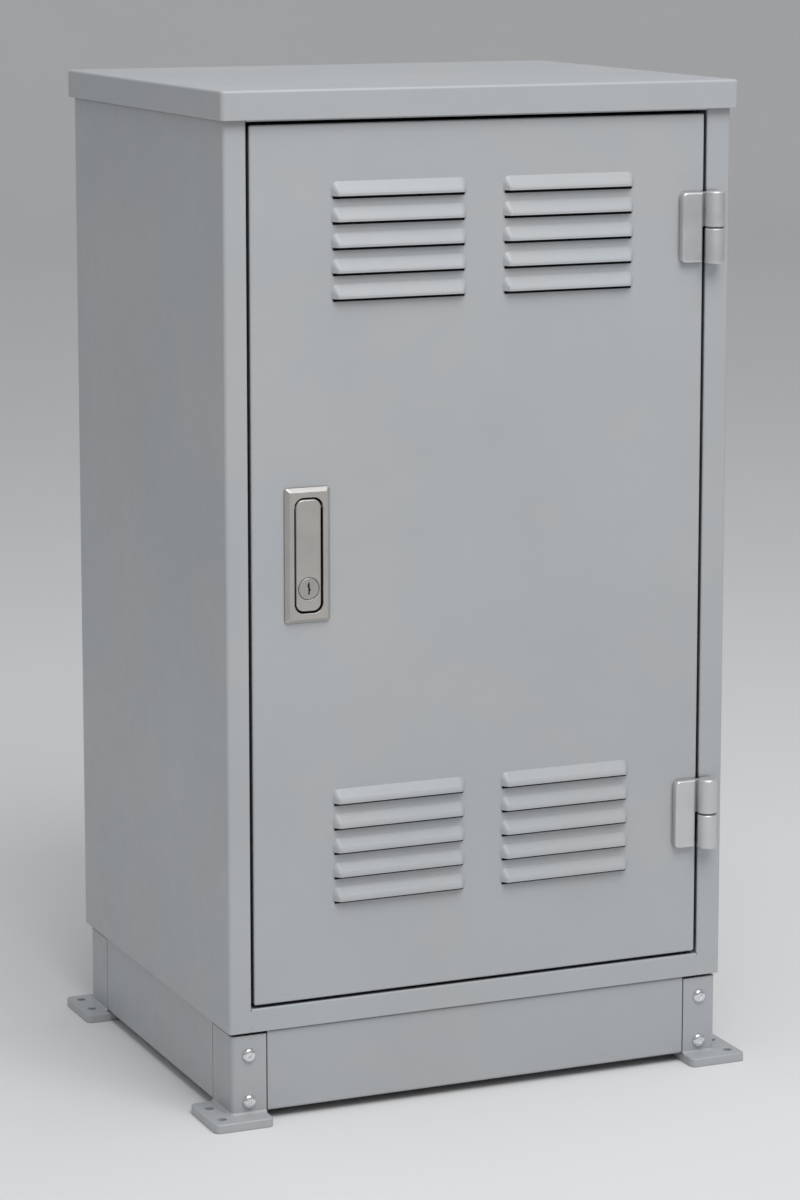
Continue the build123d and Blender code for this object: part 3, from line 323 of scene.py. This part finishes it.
def plastic(name, colour):
    """Moulded plastic with a fine grain."""
    g = Graph(name)
    grain = g.noise(1400.0, 2.0, 0.6)
    g.put(Base_Color=g.scaled(colour, g.vary(g.noise(30.0), 0.9, 1.1)),
          Roughness=g.vary(grain, 0.45, 0.6))
    g.bump(grain, 0.2, 0.1 * MM)
    return g.material


def studio_paper(name, colour):
    """Plain matt paper for the studio floor."""
    g = Graph(name)
    g.put(Base_Color=g.scaled(colour, g.vary(g.noise(1.5, 2.0), 0.985, 1.0)), Roughness=0.85)
    return g.material


def shaded_inside(g, inside, colour):
    """Darkens an alloy where a factor of its own graph is 1."""
    g.put(Base_Color=g.mixed(inside, g.base, colour), Metallic=g.span(inside, 0.8, 0.0))
    return g.material


paint = powder_coat("powder_coat", grey_paint)
# The plinth's paint: its darker colour is painted shade, and its gaps and corners get a gentler painted
# shade
plinth_paint_with_shade = powder_coat("powder_coat_plinth_shaded", plinth_paint_darkened_as_shade, 0.6)
alloy = cast_alloy("satin_alloy", alloy_colour).material
hinge_alloy = cast_alloy("satin_hinge_alloy", hinge_colour).material
zinc = plated("zinc_plate", zinc_colour)
galvanised_sheet = galvanised("galvanised_sheet", galvanised_colour)
black_rubber = rubber("black_rubber", rubber_colour)
filter_mat = foam("filter_foam", foam_colour)
brass = metal("brass", brass_colour, 0.28)
grey_plastic = plastic("grey_plastic", plastic_colour)

# The lock's recess and the keyway are painted near-black inside: painted shade, which in the recess also
# stands for its black inner finish
recess_half_width = 15.6 * MM
recess_half_height = 57.3 * MM
recess_start = 1.6 * MM
recess_end = 25.0 * MM
keyway_start = 1.3 * MM

low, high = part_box("lock_housing")
centre = (low + high) / 2
recess = cast_alloy("satin_alloy_with_recess", alloy_colour)
deep = recess.between("Y", low.y + recess_start, low.y + recess_end, 0.8 * MM)
across = recess.between("X", centre.x - recess_half_width, centre.x + recess_half_width, 0.2 * MM)
upright = recess.between("Z", centre.z - recess_half_height, centre.z + recess_half_height, 0.2 * MM)
in_recess = recess.maths("MULTIPLY", deep, recess.maths("MULTIPLY", across, upright))
housing_alloy = shaded_inside(recess, in_recess, painted_recess_shade_colour)

low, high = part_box("key_plug")
plug = cast_alloy("satin_alloy_with_keyway", plug_colour)
# The keyway and the plug's sides behind its front are painted near-black, as painted shade
in_keyway = plug.between("Y", low.y + keyway_start, high.y + MM, 0.5 * MM)
plug_alloy = shaded_inside(plug, in_keyway, painted_recess_shade_colour)

finish_of_slot = {
    "powder_coat": paint,
    "satin_alloy": alloy,
    "zinc_plate": zinc,
    "black_rubber": black_rubber,
    "filter_fleece": filter_mat,
    "brass": brass,
    "grey_plastic": grey_plastic,
}
finish_of_node = {name: galvanised_sheet for name in (
    "mounting_plate", "gland_plate", "filter_frame_upper", "filter_frame_lower", "lock_clamp")}
finish_of_node |= {name: hinge_alloy for name in (
    "hinge_leaf_upper", "hinge_leaf_lower", "hinge_base_upper", "hinge_base_lower")}
finish_of_node |= {name: plinth_paint_with_shade for name in (
    "foot_front_left", "foot_front_right", "foot_rear_left", "foot_rear_right",
    "skirt_front", "skirt_rear", "skirt_left", "skirt_right")}
finish_of_node |= {"lock_housing": housing_alloy, "key_plug": plug_alloy}
for part in frame["record"]["subparts"]:
    name = part["node"]
    mesh = nodes[name].data
    mesh.materials.clear()
    mesh.materials.append(finish_of_node.get(name, finish_of_slot[part["material_slot"]]))


def shown(name, mesh, finish):
    """Puts a mesh into the scene with its finish."""
    thing = bpy.data.objects.new(name, mesh)
    bpy.context.scene.collection.objects.link(thing)
    mesh.materials.append(finish)
    return thing


def mesh_of(name, bm):
    """Turns a finished bmesh into a mesh."""
    mesh = bpy.data.meshes.new(name)
    bm.to_mesh(mesh)
    bm.free()
    return mesh


# Fasteners with their drive recesses and threads, made over the plain CAD ones
def hexagon(size):
    """Radius of a hexagon, by angle, that is size across its flats."""
    return lambda a: size / 2 / math.cos((a + math.pi / 6) % (math.pi / 3) - math.pi / 6)


def cross(arm, width):
    """Radius of a cross-shaped recess, by angle."""
    def radius(a):
        turn = (a + math.pi / 4) % (math.pi / 2) - math.pi / 4
        return min(arm / math.cos(turn), width / 2 / max(abs(math.sin(turn)), 1e-6))
    return radius


def islands(mesh):
    """The points of each separate solid in a mesh."""
    root = {}

    def find(key):
        while root[key] != key:
            root[key] = root[root[key]]
            key = root[key]
        return key

    keys = [tuple(round(c / WELD) for c in v.co) for v in mesh.vertices]
    for key in keys:
        root.setdefault(key, key)
    for face in mesh.polygons:
        first = find(keys[face.vertices[0]])
        for i in face.vertices[1:]:
            root[find(keys[i])] = first
    groups = {}
    for key in root:
        groups.setdefault(find(key), []).append(Vector(key) * WELD)
    return list(groups.values())


def measured_screw(points):
    """Place, direction, head radius, head height, shank radius and shank length of a plain screw."""
    low = Vector([min(p[i] for p in points) for i in range(3)])
    high = Vector([max(p[i] for p in points) for i in range(3)])
    size = high - low
    axis = max(range(3), key=lambda i: min(abs(size[i] - size[j]) for j in range(3) if j != i))
    centre = (low + high) / 2
    reach = [(p, math.sqrt(sum((p[j] - centre[j]) ** 2 for j in range(3) if j != axis))) for p in points]
    head_radius = max(r for _, r in reach)
    rim = [p[axis] for p, r in reach if r > 0.97 * head_radius]
    sign = 1.0 if sum(rim) / len(rim) > centre[axis] else -1.0
    seat = min(rim) if sign > 0 else max(rim)
    end = high[axis] if sign > 0 else low[axis]
    tail = low[axis] if sign > 0 else high[axis]
    shank = max(r for p, r in reach if (p[axis] - seat) * sign < -0.05 * MM)
    place = centre.copy()
    place[axis] = seat
    direction = Vector([sign if i == axis else 0.0 for i in range(3)])
    return place, direction, head_radius, abs(end - seat), shank, abs(tail - seat)


def dressed_screw(bm, measures, drive, depth, sides=24, pitch=1.0 * MM):
    """Adds a round-headed screw with a drive recess and a thread to a mesh."""
    place, direction, head, height, shank, length = measures
    turn = direction.to_track_quat("Z", "Y").to_matrix()
    flat = 0.42 * head
    rim = 0.12 * height
    dome_steps = 6
    profile = [(shank, 0.0), (head, 0.0), (head, rim)]
    for i in range(1, dome_steps + 1):
        a = math.pi / 2 * i / dome_steps
        profile.append((flat + (head - flat) * math.cos(a), rim + (height - rim) * math.sin(a)))
    thread = []
    root = shank - 0.22 * pitch
    tip = 0.8 * shank
    z = -pitch
    while z > -length + pitch:
        thread += [(shank, z), (root, z - pitch / 2)]
        z -= pitch
    thread += [(shank, z), (tip, -length)]
    rings = [[(r, z) for _ in range(sides)] for r, z in reversed(thread)]
    rings += [[(r, z) for _ in range(sides)] for r, z in profile]
    outline = [drive(2 * math.pi * i / sides) for i in range(sides)]
    draft = 0.96
    rings += [[(r, height) for r in outline], [(draft * r, height - depth) for r in outline]]
    loops = []
    for ring in rings:
        loop = []
        for i, (r, z) in enumerate(ring):
            a = 2 * math.pi * i / sides
            loop.append(bm.verts.new(place + turn @ Vector((r * math.cos(a), r * math.sin(a), z))))
        loops.append(loop)
    for a, b in zip(loops, loops[1:]):
        for i in range(sides):
            j = (i + 1) % sides
            bm.faces.new((a[i], a[j], b[j], b[i]))
    bm.faces.new(list(reversed(loops[0])))
    bm.faces.new(loops[-1])


def dress(node, drive, depth, finish, sides=24):
    """Stands a detailed set of screws in for a CAD node."""
    bm = bmesh.new()
    for points in islands(nodes[node].data):
        dressed_screw(bm, measured_screw(points), drive, depth, sides)
    bmesh.ops.recalc_face_normals(bm, faces=bm.faces)
    for face in bm.faces:
        face.smooth = True
    for edge in bm.edges:
        edge.smooth = len(edge.link_faces) < 2 or edge.calc_face_angle() < math.radians(40)
    name = node + "_detail"
    thing = shown(name, mesh_of(name, bm), finish)
    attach(thing, body_of(nodes[node])[0])
    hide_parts(node)


dress("plinth_bolts", hexagon(4.2 * MM), 2.0 * MM, zinc)
dress("gland_screws", cross(2.9 * MM, 1.1 * MM), 1.6 * MM, zinc, 32)
dress("earth_screws", cross(2.6 * MM, 1.0 * MM), 1.5 * MM, brass, 32)
dress("lock_screws", cross(1.7 * MM, 0.7 * MM), 1.0 * MM, zinc, 32)


# The sill is welded to the uprights and ground flush, so paint runs over the seam
def flush_weld(name, x, y, z):
    """A thin fillet of filler over a seam, its long front edges feathered back."""
    bm = bmesh.new()
    feather = 0.5 * MM
    for depth, inset in ((y[0], feather), (y[1], 0.0)):
        left = x[0] + inset
        right = x[1] - inset
        for px, pz in ((left, z[0]), (right, z[0]), (right, z[1]), (left, z[1])):
            bm.verts.new((px, depth, pz))
    v = list(bm.verts)
    for quad in ((0, 1, 2, 3), (7, 6, 5, 4), (0, 4, 5, 1), (1, 5, 6, 2), (2, 6, 7, 3), (3, 7, 4, 0)):
        bm.faces.new([v[i] for i in quad])
    bmesh.ops.recalc_face_normals(bm, faces=bm.faces)
    thing = shown(name, mesh_of(name, bm), paint)
    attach(thing, "cabinet")


weld_over_upright = 3.2 * MM
weld_over_sill = 0.6 * MM
weld_skin = 0.01 * MM
weld_depth = 1.2 * MM
weld_foot = 0.3 * MM
weld_top = 21.8 * MM
sill_low, sill_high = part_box("sill_rail")
weld_y = (sill_low.y + weld_skin, sill_low.y + weld_depth)
weld_z = (sill_low.z + weld_foot, sill_low.z + weld_top)
for name, seam, side in (("sill_weld_left", sill_low.x, -1), ("sill_weld_right", sill_high.x, 1)):
    weld_x = sorted((seam + side * weld_over_upright, seam - side * weld_over_sill))
    flush_weld(name, weld_x, weld_y, weld_z)


# Studio: a pale round floor, a broad key light from the front, a top light and a soft fill
def round_studio(flat, bend, height, sides=96):
    """A floor that curves up into a wall all round, so every view has the same backdrop."""
    steps = 16
    line = [(flat * 0.5, 0.0)]
    for i in range(steps + 1):
        a = math.pi / 2 * i / steps
        line.append((flat + bend * math.sin(a), bend - bend * math.cos(a)))
    line.append((flat + bend, height))
    verts = [(0.0, 0.0, 0.0)]
    for r, z in line:
        for i in range(sides):
            a = 2 * math.pi * i / sides
            verts.append((r * math.cos(a), r * math.sin(a), z))
    faces = [(0, 1 + i, 1 + (i + 1) % sides) for i in range(sides)]
    for row in range(len(line) - 1):
        start = 1 + row * sides
        for i in range(sides):
            j = (i + 1) % sides
            faces.append((start + i, start + sides + i, start + sides + j, start + j))
    mesh = bpy.data.meshes.new("studio_floor")
    mesh.from_pydata(verts, [], faces)
    for face in mesh.polygons:
        face.use_smooth = True
    shown("studio_floor", mesh, studio_paper("studio_paper", floor_colour))


floor_radius = 9.0
wall_bend = 2.5
wall_height = 4.0
round_studio(floor_radius, wall_bend, wall_height)


def area_light(name, place, target, size, power, colour):
    """A rectangular light that faces a point."""
    data = bpy.data.lights.new(name, "AREA")
    data.shape = "RECTANGLE"
    data.size, data.size_y = size
    data.energy = power
    data.color = colour
    light = bpy.data.objects.new(name, data)
    light.location = place
    light.rotation_mode = "QUATERNION"
    light.rotation_quaternion = (Vector(target) - Vector(place)).to_track_quat("-Z", "Y")
    bpy.context.scene.collection.objects.link(light)


body_middle = (0.0, 0.0, 0.5)
lid_middle = (0.0, 0.0, 1.0)
key_watts = 97.0
top_watts = 20.0
air_colour = (0.97, 0.98, 1.0)
air_strength = 0.44
area_light("key_light", (0.1, -2.7, 3.8), body_middle, (2.8, 2.2), key_watts, (1.0, 0.995, 0.99))
area_light("top_light", (0.1, -0.5, 3.6), lid_middle, (2.4, 1.8), top_watts, (0.88, 0.94, 1.0))
world = bpy.data.worlds.new("studio_air")
world.use_nodes = True
air = world.node_tree.nodes["Background"]
air.inputs["Color"].default_value = (*air_colour, 1.0)
air.inputs["Strength"].default_value = air_strength
bpy.context.scene.world = world

# Camera
camera_data = bpy.data.cameras.new("photo_view")
camera_data.lens = lens_mm
camera_data.sensor_width = 36.0
camera_data.shift_y = camera_shift
camera_data.clip_end = 60.0
camera = bpy.data.objects.new("photo_view", camera_data)
camera.location = camera_place
camera.rotation_euler = (math.radians(90.0 - camera_tilt), 0.0, math.radians(-camera_azimuth))
bpy.context.scene.collection.objects.link(camera)
bpy.context.scene.camera = camera

scene = bpy.context.scene
scene.view_settings.view_transform = "Standard"
scene.view_settings.look = "None"
